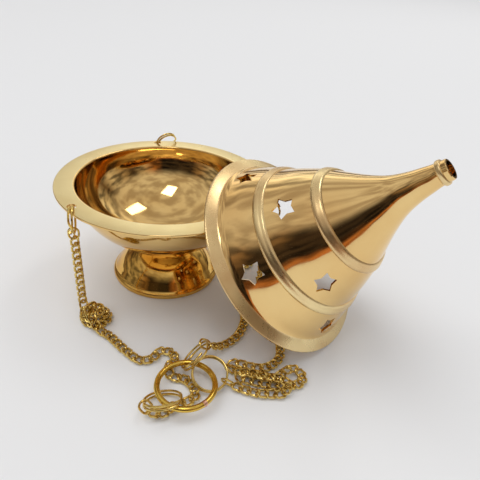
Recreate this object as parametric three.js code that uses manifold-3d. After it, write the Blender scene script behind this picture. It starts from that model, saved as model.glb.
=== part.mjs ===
// Hanging incense burner in brass: a footed bowl, a pierced cone lid that leans on its rim,
// and three chains that end in split rings on one carrying ring.
// Millimetres, +Z up. The bowl's axis is built at x = y = 0 and the whole group is moved at the end.
import * as THREE from 'three';
import { mergeVertices } from 'three/addons/utils/BufferGeometryUtils.js';
import Module from 'manifold-3d';

const wasm = await Module();
wasm.setup();

// Clearances
const TOUCH_GAP = 0.3; // between pieces that rest on each other
const WIRE_GAP = 0.42; // between the two turns of a split ring
const FLOOR_GAP = 0.02;

// Bowl
const RIM_HEIGHT = 51.2;
const RIM_RADIUS = 50;
const FLANGE_THICKNESS = 1.1;
const FLANGE_WIDTH = 7.9;
const FLANGE_INNER_RADIUS = RIM_RADIUS - FLANGE_WIDTH;
const BOWL_WALL = 1.2;
const BOWL_DEPTH = 31; // of the outer ellipse under the flange
const TURNING_STEPS = 40; // faces round each turned piece

// Foot
const SEAT_RADIUS = 12.9; // where the foot's collar meets the bowl
const WAIST_RADIUS = 12.2;
const FOOT_RADIUS = 26.8;
const FOOT_BAND_HEIGHT = 2.2;
const FOOT_RING_WIDTH = 2.4; // flat that stands on the table
const FOOT_WALL = 1.3;

// Lid, in its own frame: r from its axis, h up from its mouth
const LID_MOUTH_RADIUS = 46;
const LID_WALL = 1;
const LID_TILT = 44.2; // degrees off upright
const LID_AZIMUTH = -27.75;
const LID_REACH_AZIMUTH = -20.9; // direction from the bowl to the lid's mouth
const LID_BANDS = [
  [32.6, 17],
  [21.7, 37.1],
];
const BAND_WIDTH = 2.5;
const BAND_HEIGHT = 0.8;
const SPOUT_BEAD = [4.25, 75.7];
const STAR_RADIUS = 4.7;
const STAR_NOTCH_RADIUS = 2.4;
const STARS_PER_ROW = 5;
const STAR_ROWS = [
  { h: 8.6, first: 190, turn: 14 },
  { h: 26.2, first: 226, turn: -8 },
];

// Chain holes and rings
const HOLE_RADIUS = 2;
const HOLE_CIRCLE = RIM_RADIUS - 3.1; // metal is left outside each hole
const WIRE = 0.9; // diameter of the wire of split rings, jump links and end links
const TURN_PITCH = WIRE + WIRE_GAP;
const RIM_RING_RADIUS = 5.5; // to the middle of the wire
const TOP_RING_RADIUS = 6.9;
const MAIN_RING_RADIUS = 11.05;
const MAIN_RING_WIRE = 2.3;

// Links
const JUMP_LENGTH = 6.2; // outside
const JUMP_WIDTH = 4.9;
const JUMP_SEAT = 0.9; // a jump link's middle from the middle of the two turns it hangs on
const LINK_WIRE = 1;
const LINK_PITCH = 3.45;
const LINK_LENGTH = LINK_PITCH + TOUCH_GAP + 2 * LINK_WIRE;
const LINK_WIDTH = 4.2;
const LINK_TWIST = 55; // degrees each way, the twist of a curb link
const HANGING_LINKS = 9;

// Chain that lies on the table, drawn as a beaded strand
const STRAND_WIDTH = 3.3;
const STRAND_WAIST = 2.3;
const STRAND_THICKNESS = 1.9;
const STRAND_THIN = 1.4;

const radians = (degrees) => (degrees * Math.PI) / 180;
const vec = (x, y, z) => new THREE.Vector3(x, y, z);
const polar = (radius, azimuth, z) =>
  vec(radius * Math.cos(radians(azimuth)), radius * Math.sin(radians(azimuth)), z);

// A geometry as a closed solid, and back again.
function solidOf(geometry) {
  const bare = geometry.clone();
  bare.deleteAttribute('normal');
  bare.deleteAttribute('uv');
  const merged = mergeVertices(bare, 1e-4);
  return new wasm.Manifold(
    new wasm.Mesh({
      numProp: 3,
      vertProperties: new Float32Array(merged.attributes.position.array),
      triVerts: new Uint32Array(merged.index.array),
    }),
  );
}

function geometryOf(solid) {
  const mesh = solid.getMesh();
  const geometry = new THREE.BufferGeometry();
  geometry.setAttribute('position', new THREE.BufferAttribute(mesh.vertProperties, 3));
  geometry.setIndex(new THREE.BufferAttribute(mesh.triVerts, 1));
  return geometry;
}

function cut(geometry, tools) {
  let left = solidOf(geometry);
  for (const tool of tools) left = left.subtract(solidOf(tool));
  return geometryOf(left);
}

// A turned piece about +Z from [r, h] points that go up the outside.
function turned(profile) {
  const points = profile.map(([r, h]) => new THREE.Vector2(r, h));
  return new THREE.LatheGeometry(points, TURNING_STEPS).rotateX(Math.PI / 2);
}

// Stations are { at, side, up, a, b }: a section of half sizes a along side and b along up.
function sweep(stations, sides, closed) {
  const positions = [];
  const faces = [];
  for (const { at, side, up, a, b } of stations) {
    for (let k = 0; k < sides; k++) {
      const t = (2 * Math.PI * k) / sides;
      const p = at.clone().addScaledVector(side, a * Math.cos(t)).addScaledVector(up, b * Math.sin(t));
      positions.push(p.x, p.y, p.z);
    }
  }
  const count = stations.length;
  for (let i = 0; i < (closed ? count : count - 1); i++) {
    const j = (i + 1) % count;
    for (let k = 0; k < sides; k++) {
      const l = (k + 1) % sides;
      faces.push(i * sides + k, i * sides + l, j * sides + k);
      faces.push(i * sides + l, j * sides + l, j * sides + k);
    }
  }
  if (!closed) {
    const last = (count - 1) * sides;
    for (let k = 1; k < sides - 1; k++) {
      faces.push(0, k + 1, k);
      faces.push(last, last + k, last + k + 1);
    }
  }
  const geometry = new THREE.BufferGeometry();
  geometry.setAttribute('position', new THREE.Float32BufferAttribute(positions, 3));
  geometry.setIndex(faces);
  return geometry;
}

// Round wire along points that go round the origin, so the radius is a steady side direction.
function wireRound(points, diameter, sides, closed) {
  const count = points.length;
  const stations = points.map((at, i) => {
    const before = closed ? points[(i + count - 1) % count] : points[Math.max(i - 1, 0)];
    const after = closed ? points[(i + 1) % count] : points[Math.min(i + 1, count - 1)];
    const along = after.clone().sub(before).normalize();
    const side = at.clone().addScaledVector(along, -at.dot(along)).normalize();
    const up = side.clone().cross(along).negate();
    return { at, side, up, a: diameter / 2, b: diameter / 2 };
  });
  return sweep(stations, sides, closed);
}

// Bowl: a flat flange with three chain holes over half an ellipse of sheet.
const bowlOuterZ = (r) =>
  RIM_HEIGHT - FLANGE_THICKNESS - BOWL_DEPTH * Math.sqrt(1 - (r / FLANGE_INNER_RADIUS) ** 2);

function bowlGeometry() {
  const steps = 9;
  const profile = [];
  for (let i = 0; i <= steps; i++) {
    const r = FLANGE_INNER_RADIUS * Math.sin((i / steps) * radians(90));
    profile.push([r, bowlOuterZ(r)]);
  }
  const edge = 0.3;
  profile.push([RIM_RADIUS - edge, RIM_HEIGHT - FLANGE_THICKNESS]);
  profile.push([RIM_RADIUS, RIM_HEIGHT - FLANGE_THICKNESS + edge]);
  profile.push([RIM_RADIUS, RIM_HEIGHT - edge]);
  profile.push([RIM_RADIUS - edge, RIM_HEIGHT]);
  const lipRound = 0.9;
  const inside = FLANGE_INNER_RADIUS - BOWL_WALL;
  const insideDepth = BOWL_DEPTH + FLANGE_THICKNESS - BOWL_WALL;
  profile.push([inside + lipRound, RIM_HEIGHT]);
  profile.push([inside + 0.3 * lipRound, RIM_HEIGHT - 0.3 * lipRound]);
  for (let i = steps; i >= 0; i--) {
    const turn = (i / steps) * radians(88);
    profile.push([inside * Math.sin(turn), RIM_HEIGHT - insideDepth * Math.cos(turn)]);
  }
  profile[profile.length - 1][0] = 0;
  const holes = RIM_RINGS.map(({ hole }) =>
    new THREE.CylinderGeometry(HOLE_RADIUS, HOLE_RADIUS, 4 * FLANGE_THICKNESS, 16)
      .rotateX(Math.PI / 2)
      .translate(...polar(HOLE_CIRCLE, hole, RIM_HEIGHT).toArray()),
  );
  return cut(turned(profile), holes);
}

// Foot: a spun trumpet, hollow from below, closed by a plate under the bowl.
function footGeometry() {
  const plateTop = bowlOuterZ(0) - 2 * TOUCH_GAP;
  const plateBottom = plateTop - FOOT_WALL;
  const collar = SEAT_RADIUS - FOOT_WALL;
  const flare = [
    [FOOT_RADIUS - 0.8, FOOT_BAND_HEIGHT + 0.4],
    [25, 4.2],
    [22.6, 6.4],
    [18.9, 9.2],
    [15.2, 12],
    [13, 14.4],
    [WAIST_RADIUS, 16.6],
    [WAIST_RADIUS + 0.1, 18.4],
  ];
  const inside = flare
    .slice(1, -1)
    .reverse()
    .map(([r, z]) => [r - FOOT_WALL, z - 0.6 * FOOT_WALL]);
  return turned([
    [0, plateBottom],
    [inside[0][0], plateBottom],
    ...inside,
    [FOOT_RADIUS - 0.4 - FOOT_RING_WIDTH, 0],
    [FOOT_RADIUS - 0.4, 0],
    [FOOT_RADIUS, 0.8],
    [FOOT_RADIUS, FOOT_BAND_HEIGHT],
    ...flare,
    [SEAT_RADIUS, bowlOuterZ(SEAT_RADIUS) - TOUCH_GAP],
    [collar, bowlOuterZ(collar) - TOUCH_GAP],
    [collar - 0.5, plateTop],
    [0, plateTop],
  ]);
}

// Lid: a stepped cone of thin sheet with raised bands, star piercings and an open spout.
const LID_SHELL = [
  [LID_MOUTH_RADIUS - 0.2, 0.9],
  [40.7, 2.5],
  [37.3, 9.2],
  [33.4, 15.9],
  [31.8, 18.2],
  [27.8, 26.4],
  [23.1, 35],
  [21.3, 37.6],
  [17.4, 43],
  [12.6, 50],
  [8.4, 57.5],
  [6.1, 64.5],
  [4.9, 70.5],
  [4.3, 74],
  [4, 78.6],
];

function bandPoints(r, h, width, height, slope) {
  const along = [-Math.sin(slope), Math.cos(slope)];
  const out = [Math.cos(slope), Math.sin(slope)];
  const corner = (s, o) => [
    r + along[0] * s * width + out[0] * o * height,
    h + along[1] * s * width + out[1] * o * height,
  ];
  return [corner(-0.5, 0), corner(-0.28, 1), corner(0.28, 1), corner(0.5, 0)];
}

function lidGeometry() {
  const bandSlope = radians(28);
  const outside = [
    [LID_MOUTH_RADIUS, 0],
    ...LID_SHELL.slice(0, 3),
    ...bandPoints(...LID_BANDS[0], BAND_WIDTH, BAND_HEIGHT, bandSlope),
    LID_SHELL[5],
    ...bandPoints(...LID_BANDS[1], BAND_WIDTH, BAND_HEIGHT, bandSlope),
    ...LID_SHELL.slice(8, 13),
    ...bandPoints(...SPOUT_BEAD, 1.8, 0.7, radians(4)),
    LID_SHELL[14],
  ];
  const inside = LID_SHELL.map(([r, h], i) => {
    const before = LID_SHELL[Math.max(i - 1, 0)];
    const after = LID_SHELL[Math.min(i + 1, LID_SHELL.length - 1)];
    const run = Math.hypot(after[0] - before[0], after[1] - before[1]);
    const top = i === LID_SHELL.length - 1;
    const drop = top ? 0 : (LID_WALL * (after[0] - before[0])) / run;
    return [r - (LID_WALL * (after[1] - before[1])) / run, h + drop];
  })
    .slice(1)
    .reverse();
  const mouthInside = [LID_MOUTH_RADIUS - LID_WALL, 0];
  return cut(turned([...outside, ...inside, mouthInside, outside[0]]), starTools());
}

function starTools() {
  const tools = [];
  for (const { h, first, turn } of STAR_ROWS) {
    const next = LID_SHELL.findIndex((p) => p[1] > h);
    const [r0, h0] = LID_SHELL[next - 1];
    const [r1, h1] = LID_SHELL[next];
    const r = r0 + ((r1 - r0) * (h - h0)) / (h1 - h0);
    const slope = Math.atan2(r0 - r1, h1 - h0);
    for (let k = 0; k < STARS_PER_ROW; k++) {
      const shape = new THREE.Shape();
      for (let i = 0; i < 10; i++) {
        const radius = i % 2 ? STAR_NOTCH_RADIUS : STAR_RADIUS;
        const t = radians(90 + turn * (k % 2 ? -1 : 1) + 36 * i);
        if (i) shape.lineTo(radius * Math.cos(t), radius * Math.sin(t));
        else shape.moveTo(radius * Math.cos(t), radius * Math.sin(t));
      }
      shape.closePath();
      tools.push(
        new THREE.ExtrudeGeometry(shape, { depth: 8, bevelEnabled: false })
          .translate(0, 0, -4)
          .rotateY(Math.PI / 2)
          .rotateX(Math.PI / 2)
          .rotateY(-slope)
          .translate(r, 0, h)
          .rotateZ(radians(first + (360 / STARS_PER_ROW) * k)),
      );
    }
  }
  return tools;
}

// The lid stands on the edge of its mouth and leans on the bowl: it is moved in until it almost touches.
function leanLid(lid, bowl) {
  const tilt = radians(LID_TILT);
  const turn = new THREE.Matrix4()
    .makeRotationZ(radians(LID_AZIMUTH))
    .multiply(new THREE.Matrix4().makeRotationY(tilt));
  const height = LID_MOUTH_RADIUS * Math.sin(tilt) + FLOOR_GAP;
  const bowlSolid = solidOf(bowl);
  const lidSolid = solidOf(lid.clone().applyMatrix4(turn));
  const wanted = 1.1 * TOUCH_GAP;
  let near = 0.8 * RIM_RADIUS;
  let far = 2 * RIM_RADIUS + LID_MOUTH_RADIUS;
  for (let i = 0; i < 14; i++) {
    const reach = (near + far) / 2;
    const at = polar(reach, LID_REACH_AZIMUTH, height);
    const gap = lidSolid.translate(at.toArray()).minGap(bowlSolid, 4);
    if (gap < wanted) near = reach;
    else far = reach;
  }
  const at = polar(far, LID_REACH_AZIMUTH, height);
  return { placed: lid.applyMatrix4(turn).translate(at.x, at.y, at.z), at };
}

// Split ring about the origin, its axis along z: two flat turns joined by a short jog at angle 0.
function splitRingGeometry(radius) {
  const jog = 25; // degrees each side of the middle of the jog
  const end = 720 - jog - 8;
  const steps = 30;
  const points = [];
  for (let i = 0; i <= steps; i++) {
    const angle = jog + ((end - jog) * i) / steps;
    const share = THREE.MathUtils.smoothstep(angle, 360 - jog, 360 + jog);
    points.push(polar(radius, angle, (share - 0.5) * TURN_PITCH));
  }
  return { geometry: wireRound(points, WIRE, 5, false), points };
}

function leastTurnGap(points, wire) {
  let least = Infinity;
  points.forEach((p, i) => {
    for (let j = i + 8; j < points.length; j++) least = Math.min(least, p.distanceTo(points[j]));
  });
  return least - wire;
}

// Link about the origin, long along z and wide along x: two half rounds, each end turned by the twist.
function linkGeometry(length, width, wire, twist, steps) {
  const a = (length - wire) / 2;
  const b = (width - wire) / 2;
  const points = [];
  for (let i = 0; i < steps; i++) {
    const t = (2 * Math.PI * i) / steps;
    const lean = radians(twist) * Math.sin(t);
    const across = b * Math.cos(t);
    const along = (a - b) * Math.sign(Math.round(10 * Math.sin(t))) + b * Math.sin(t);
    points.push(vec(across * Math.cos(lean), across * Math.sin(lean), along));
  }
  return wireRound(points, wire, 5, true);
}

// Chain on the table: the path's points are joined by a smooth curve and beaded once per link.
function strandStations(path) {
  const curve = new THREE.CatmullRomCurve3(path, false, 'centripetal');
  curve.arcLengthDivisions = 2000;
  const halfLinks = 2 * Math.round(curve.getLength() / LINK_PITCH);
  const up = vec(0, 0, 1);
  const stations = [];
  for (let i = 0; i <= halfLinks; i++) {
    const along = curve.getTangentAt(i / halfLinks);
    const side = up.clone().cross(along);
    stations.push({ at: curve.getPointAt(i / halfLinks), along, side, bead: i % 2 });
  }
  for (let i = halfLinks - 1; i >= 0; i--) {
    if (stations[i].side.length() < 0.35) stations[i].side.copy(stations[i + 1].side);
  }
  for (const s of stations) {
    s.side.addScaledVector(s.along, -s.side.dot(s.along)).normalize();
    s.up = s.along.clone().cross(s.side);
    s.a = (s.bead ? STRAND_WIDTH : STRAND_WAIST) / 2;
    s.b = (s.bead ? STRAND_THICKNESS : STRAND_THIN) / 2;
  }
  return { stations, length: curve.getLength() };
}

// Turns a geometry built about the origin so that x, y, z run along u, v, n, then moves it.
function placed(geometry, u, v, n, at) {
  return geometry.applyMatrix4(new THREE.Matrix4().makeBasis(u, v, n).setPosition(at));
}

// Rim rings: hole is the azimuth of the chain hole, yaw the way the ring's plane runs, lean its tilt,
// out how far its middle lies along that way from the hole, down how far under the flange's top.
const RIM_RINGS = [
  { name: 'left', hole: 226, yaw: 285, lean: 0, out: 4.2, down: 4 },
  { name: 'back', hole: 106, yaw: 38.3, lean: -25, out: 5.3, down: 0.3 },
  { name: 'right', hole: 346, yaw: 346, lean: 0, out: 3.4, down: 4.5 },
];

function rimRingFrame({ hole, yaw, lean, out, down }) {
  const u = polar(1, yaw, 0);
  const w = polar(1, yaw + 90, 0);
  const v = w.clone().multiplyScalar(Math.sin(radians(lean)));
  v.z = Math.cos(radians(lean));
  const at = polar(HOLE_CIRCLE, hole, RIM_HEIGHT - down).addScaledVector(u, out);
  return { u, v, n: u.clone().cross(v), at };
}

// Carrying ring and its split rings as they lie on the table. tip leans a ring's axis off upright,
// linkAngle says where round the ring its end link hangs, linkDip how far that link points down.
const MAIN_RING_AT = vec(22, -79.2, 4.34);
const TOP_RINGS = [
  { name: 'left', at: vec(14.6, -87.3, 4.58), tip: [-0.185, 0.481], linkAngle: 212, linkDip: -125 },
  { name: 'back', at: vec(23.92, -65.99, 6.39), tip: [-0.853, 0.268], linkAngle: 75, linkDip: -60 },
  { name: 'right', at: vec(30.44, -72.95, 4.47), tip: [0.119, -0.379], linkAngle: -15, linkDip: -10 },
];

// Paths of the lying chains, laid by eye from the picture. The first point is the chain's foot.
const STRAND_PATHS = {
  left: [
    [-30.9, -38.4, 3],
    [-29.6, -41.5, 1.1],
    [-28.2, -45.6, 1.1],
    [-24.9, -48.7, 1.1],
    [-20.9, -48.5, 1.1],
    [-18.4, -45.2, 1.1],
    [-19.6, -41, 1.1],
    [-23.1, -39, 1.5],
    [-27.4, -40.4, 3.3],
    [-28.6, -44.6, 3.3],
    [-25.6, -48.2, 3.3],
    [-21.4, -47.6, 3.3],
    [-19.6, -43.9, 3.4],
    [-22.3, -40.6, 3.9],
    [-26.4, -42.2, 5.4],
    [-26.2, -46.4, 5.4],
    [-22.4, -47.2, 5.4],
    [-21.2, -43.9, 5.6],
    [-24, -42.4, 6.6],
    [-25.6, -45.4, 7.4],
    [-23.6, -49.2, 5.6],
    [-19.6, -52, 1.6],
    [-14.6, -54.6, 1.1],
    [-10.9, -57.7, 1.1],
    [-5.4, -62.2, 1.1],
    [1.5, -66.4, 1.1],
    [6.1, -64.8, 1.1],
    [7.8, -61.2, 1.1],
    [12.2, -60.5, 1.1],
    [15.4, -64.2, 1.1],
    [13.6, -68.4, 1.1],
    [15.2, -73, 1.1],
    [20.6, -74, 1.1],
    [24.8, -77.6, 1.1],
    [25.6, -82, 1.1],
    [21.8, -85.2, 1.1],
    [18, -87.4, 1.1],
    [14.8, -90.4, 1.2],
  ],
  back: [
    [-9.8, 50.9, 2.6],
    [-6, 51.4, 1.1],
    [2, 51.4, 1.1],
    [9, 52.5, 1.1],
    [13, 48.5, 1.1],
    [11.5, 43, 1.1],
    [16, 39.5, 1.1],
    [21.5, 42, 1.1],
    [26.5, 46, 1.1],
    [31, 41.5, 1.1],
    [33, 36.5, 1.1],
    [38, 30, 1.1],
    [36, 22, 1.1],
    [42, 16.5, 1.1],
    [44, 9, 1.1],
    [38.5, 3, 1.1],
    [35.6, -4, 1.1],
    [39, -11, 1.1],
    [44.6, -16, 1.1],
    [45, -23, 1.1],
    [42.6, -30, 1.1],
    [43, -37, 1.1],
    [41.8, -43.5, 1.1],
    [39.4, -48.9, 1.1],
    [36, -52.7, 1.1],
    [32.6, -56.3, 2.6],
  ],
  right: [
    [49.2, -13.4, 2.6],
    [50.6, -18, 1.1],
    [54.2, -27, 1.1],
    [56.5, -36, 1.1],
    [58.3, -45, 1.1],
    [59.2, -52.4, 1.1],
    [58.7, -58, 1.1],
    [55.6, -62.4, 1.1],
    [51.2, -64.6, 1.1],
    [45.6, -64.2, 1.1],
    [40.6, -63.2, 1.1],
    [37.8, -65.2, 1.1],
    [40.6, -67.3, 1.1],
    [46, -67.7, 1.1],
    [51.6, -68.7, 1.1],
    [57, -69, 1.3],
    [60.4, -66.8, 2.6],
    [64.4, -64.2, 1.9],
    [67.8, -66.6, 1.1],
    [66.6, -70.6, 1.1],
    [62, -72.4, 1.1],
    [56.6, -73, 1.1],
    [50.8, -72.4, 1.1],
    [45.4, -71.4, 1.1],
    [41.6, -70.6, 1.9],
    [44, -69.6, 3.4],
    [49, -70.4, 3.4],
    [54, -71, 3.4],
    [58.6, -71.4, 3.4],
    [61.4, -73.6, 3],
    [59.2, -76.6, 1.2],
    [54.6, -77.2, 1.1],
    [49.4, -77.4, 1.1],
    [44.6, -76.4, 1.1],
  ],
};

const MATERIALS = {
  bowl_brass: { color: 0xc9a04a, roughness: 0.16 },
  foot_brass: { color: 0xb9852f, roughness: 0.18 },
  lid_brass: { color: 0xd2a65c, roughness: 0.2 },
  chain_brass: { color: 0xb98f2c, roughness: 0.3 },
  ring_brass: { color: 0xc99a2e, roughness: 0.22 },
};

const group = new THREE.Group();
const rigid = [];

function add(name, geometry, slot, isStrand = false) {
  const material = new THREE.MeshStandardMaterial({ ...MATERIALS[slot], metalness: 1 });
  const mesh = new THREE.Mesh(geometry, material);
  mesh.name = name;
  geometry.computeVertexNormals();
  group.add(mesh);
  if (!isStrand) rigid.push(mesh);
}

// Bowl, foot and lid
const bowl = bowlGeometry();
const lean = leanLid(lidGeometry(), bowl);
add('bowl', bowl, 'bowl_brass');
add('foot', footGeometry(), 'foot_brass');
add('lid', lean.placed, 'lid_brass');

// Hanging end of each chain: split ring, jump link, then curb links one through the next.
const chainFeet = {};
for (const ring of RIM_RINGS) {
  const { u, v, n, at } = rimRingFrame(ring);
  const { geometry, points } = splitRingGeometry(RIM_RING_RADIUS);
  if (ring === RIM_RINGS[0]) console.log('rim ring, least gap to itself', leastTurnGap(points, WIRE).toFixed(2));
  add('rim_ring_' + ring.name, placed(geometry, u, v, n, at), 'chain_brass');

  const across = u.clone().cross(vec(0, 0, 1)).normalize();
  const ringFoot = at.clone().addScaledVector(v, -RIM_RING_RADIUS);
  const jumpAt = ringFoot.clone();
  jumpAt.z -= JUMP_SEAT;
  const jump = linkGeometry(JUMP_LENGTH, JUMP_WIDTH, WIRE, 0, 12);
  const upright = vec(0, 0, 1);
  add('jump_link_' + ring.name, placed(jump, across, upright.clone().cross(across), upright, jumpAt), 'chain_brass');

  // The first link's top end stands across the jump link, so the chain's flat is half a twist off it.
  const flat = u.clone().applyAxisAngle(upright, -radians(LINK_TWIST));
  const linkAt = jumpAt.clone();
  linkAt.z -= (JUMP_LENGTH - WIRE) / 2 + (LINK_LENGTH - LINK_WIRE) / 2;
  linkAt.z += (WIRE + LINK_WIRE) / 2 + TOUCH_GAP;
  for (let k = 0; k < HANGING_LINKS; k++) {
    const link = linkGeometry(LINK_LENGTH, LINK_WIDTH, LINK_WIRE, LINK_TWIST, 10);
    const name = 'link_' + ring.name + '_' + (k + 1);
    add(name, placed(link, flat, upright.clone().cross(flat), upright, linkAt), 'chain_brass');
    linkAt.z -= LINK_PITCH;
  }
  linkAt.z += LINK_PITCH - LINK_LENGTH / 2 - TOUCH_GAP;
  chainFeet[ring.name] = linkAt;
}

// Carrying ring
const mainCircle = [];
for (let i = 0; i < 28; i++) mainCircle.push(polar(MAIN_RING_RADIUS, (360 * i) / 28, 0));
const mainRing = wireRound(mainCircle, MAIN_RING_WIRE, 8, true);
add('main_ring', mainRing.translate(...MAIN_RING_AT.toArray()), 'ring_brass');

// Its split rings, each with the end link of a chain
const chainEnds = {};
for (const { name, at, tip, linkAngle, linkDip } of TOP_RINGS) {
  const angle = Math.hypot(...tip);
  const n = vec((Math.sin(angle) * tip[0]) / angle, (Math.sin(angle) * tip[1]) / angle, Math.cos(angle));
  const u = vec(0, 1, 0).cross(n).normalize();
  const v = n.clone().cross(u);
  const { geometry, points } = splitRingGeometry(TOP_RING_RADIUS);
  if (name === 'left') console.log('top ring, least gap to itself', leastTurnGap(points, WIRE).toFixed(2));
  add('top_ring_' + name, placed(geometry, u, v, n, at), 'chain_brass');

  const out = polar(1, linkAngle, 0);
  const radial = u.clone().multiplyScalar(out.x).addScaledVector(v, out.y);
  const seat = at.clone().addScaledVector(radial, TOP_RING_RADIUS);
  const dip = radians(linkDip);
  const long = radial.clone().multiplyScalar(Math.cos(dip)).addScaledVector(n, Math.sin(dip));
  const wide = n.clone().cross(radial).cross(long);
  const linkAt = seat.clone().addScaledVector(long, JUMP_SEAT);
  const link = linkGeometry(JUMP_LENGTH, JUMP_WIDTH, WIRE, 0, 12);
  add('end_link_' + name, placed(link, wide, long.clone().cross(wide), long, linkAt), 'chain_brass');
  chainEnds[name] = linkAt.addScaledVector(long, JUMP_LENGTH / 2 + TOUCH_GAP);
}

// Lying part of each chain
for (const [name, path] of Object.entries(STRAND_PATHS)) {
  const points = [chainFeet[name], ...path.map((p) => vec(...p)), chainEnds[name]];
  const { stations, length } = strandStations(points);
  console.log('strand', name, length.toFixed(1), 'mm');
  add('strand_' + name, sweep(stations, 6, false), 'chain_brass', true);
}

// The origin is the middle of the underside of everything but the lying chain.
const box = new THREE.Box3();
for (const mesh of rigid) box.expandByObject(mesh, true);
const middle = box.getCenter(vec(0, 0, 0));
group.position.set(-middle.x, -middle.y, -box.min.z);
group.updateMatrixWorld(true);
console.log('bowl axis at', group.position.toArray().map((x) => x.toFixed(3)).join(' '));
console.log('lid mouth at', lean.at.toArray().map((x) => x.toFixed(3)).join(' '));

export default group;
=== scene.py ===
import math
import random

import bpy
from mathutils import Matrix, Vector


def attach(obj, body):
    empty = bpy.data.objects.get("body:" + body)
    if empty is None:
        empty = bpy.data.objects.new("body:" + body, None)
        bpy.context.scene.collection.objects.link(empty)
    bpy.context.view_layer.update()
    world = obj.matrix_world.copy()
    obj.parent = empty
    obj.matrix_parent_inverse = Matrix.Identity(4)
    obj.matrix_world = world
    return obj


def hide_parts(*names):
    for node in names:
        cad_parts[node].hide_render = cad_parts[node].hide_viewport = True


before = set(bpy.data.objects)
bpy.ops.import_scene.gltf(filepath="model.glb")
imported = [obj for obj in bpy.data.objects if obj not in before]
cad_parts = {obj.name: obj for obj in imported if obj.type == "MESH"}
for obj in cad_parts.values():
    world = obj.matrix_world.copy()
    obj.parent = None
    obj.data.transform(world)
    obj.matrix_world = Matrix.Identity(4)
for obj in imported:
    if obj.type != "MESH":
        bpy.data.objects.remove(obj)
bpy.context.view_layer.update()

# Camera. It stands low in front of the table, looks down by about 32 degrees and is rolled by
# about 6, as the picture was taken. Nothing here is part of the burner.
CAMERA_PLACE = (0.00633, -0.17442, 0.14538)
CAMERA_TURN = -0.411  # degrees about the upright
CAMERA_PITCH = 57.517  # degrees up from straight down
CAMERA_ROLL = 5.673  # degrees
view = bpy.data.cameras.new("view")
view.lens = 34.139
view.sensor_width = 36
view.clip_start = 0.01
camera = bpy.data.objects.new("view", view)
stand = Matrix.Rotation(math.radians(CAMERA_TURN), 4, "Z")
stand = stand @ Matrix.Rotation(math.radians(CAMERA_PITCH), 4, "X")
stand = stand @ Matrix.Rotation(math.radians(CAMERA_ROLL), 4, "Z")
camera.matrix_world = Matrix.Translation(CAMERA_PLACE) @ stand
bpy.context.scene.collection.objects.link(camera)
bpy.context.scene.camera = camera
bpy.context.scene.view_settings.view_transform = "Standard"

# Table and light. A plain pale table top, one broad soft lamp from the left and behind, two
# ceiling lights and an even light all round. What gleams mirrors the ceiling lights and, in
# place of the rest, a room: a grey ceiling, a bright wall behind and a dark front.
TABLE_REACH = 9  # metres to each side
WALLS = (  # share of the turn round the room: 0 left, 0.25 front, 0.5 right, 0.75 behind
    (0, (0.42, 0.38, 0.33)),
    (0.08, (0.50, 0.45, 0.39)),
    (0.13, (0.26, 0.17, 0.10)),
    (0.17, (0.05, 0.035, 0.025)),
    (0.29, (0.03, 0.022, 0.018)),
    (0.33, (0.36, 0.15, 0.05)),
    (0.38, (0.46, 0.38, 0.29)),
    (0.42, (0.07, 0.045, 0.03)),
    (0.47, (0.34, 0.26, 0.18)),
    (0.52, (0.58, 0.52, 0.44)),
    (0.57, (0.12, 0.08, 0.05)),
    (0.63, (0.60, 0.55, 0.47)),
    (0.69, (1.10, 1.06, 0.98)),
    (0.80, (1.20, 1.15, 1.06)),
    (0.87, (0.85, 0.79, 0.68)),
    (0.91, (0.14, 0.09, 0.06)),
    (0.95, (0.40, 0.34, 0.27)),
    (1, (0.42, 0.38, 0.33)),
)
LOW_WALLS = (  # the same way round, close above the table
    (0.12, (0.24, 0.19, 0.14)),
    (0.18, (0.42, 0.16, 0.05)),
    (0.35, (0.50, 0.20, 0.07)),
    (0.42, (0.20, 0.11, 0.06)),
    (0.5, (0.24, 0.19, 0.14)),
)
CEILING = ((0.42, (0.43, 0.38, 0.34)), (0.62, (0.70, 0.67, 0.64)))  # from dark to pale patches
CEILING_LIGHTS = (  # name, place and size in metres, power
    ("ceiling_light_back", (0.77, 1.22, 2.1), (0.42, 1.02), 6),
    ("ceiling_light_near", (-0.075, -0.50, 2.1), (0.42, 0.6), 3.6),
)
CEILING_LIGHT_TURN = -17.5  # degrees about the upright


def noise(tree, at, scale, detail, roughness=0.5):
    """Soft noise read at a point."""
    cloud = tree.nodes.new("ShaderNodeTexNoise")
    cloud.inputs["Scale"].default_value = scale
    cloud.inputs["Detail"].default_value = detail
    cloud.inputs["Roughness"].default_value = roughness
    tree.links.new(at, cloud.inputs["Vector"])
    return cloud.outputs["Fac"]


def tones(tree, amount, stops):
    """Colours that follow an amount, from (amount, colour) stops."""
    ramp = tree.nodes.new("ShaderNodeValToRGB")
    stages = ramp.color_ramp.elements
    for stage, (share, colour) in zip(stages, (stops[0], stops[-1])):
        stage.position = share
        stage.color = (*colour, 1)
    for share, colour in stops[1:-1]:
        stages.new(share).color = (*colour, 1)
    tree.links.new(amount, ramp.inputs["Fac"])
    return ramp.outputs["Color"]


def stretched(tree, amount, low, high, start=0, end=1, way="LINEAR"):
    """An amount that runs from low to high, made to run from start to end."""
    span = tree.nodes.new("ShaderNodeMapRange")
    span.interpolation_type = way
    span.inputs["From Min"].default_value = low
    span.inputs["From Max"].default_value = high
    span.inputs["To Min"].default_value = start
    span.inputs["To Max"].default_value = end
    tree.links.new(amount, span.inputs["Value"])
    return span.outputs["Result"]


def mixed(tree, share, first, second):
    """The first colour, giving way to the second as the share rises to 1."""
    both = tree.nodes.new("ShaderNodeMix")
    both.data_type = "RGBA"
    first_colour, second_colour, mixed_colour = both.inputs[6], both.inputs[7], both.outputs[2]
    tree.links.new(share, both.inputs["Factor"])
    tree.links.new(first, first_colour)
    tree.links.new(second, second_colour)
    return mixed_colour


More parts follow.
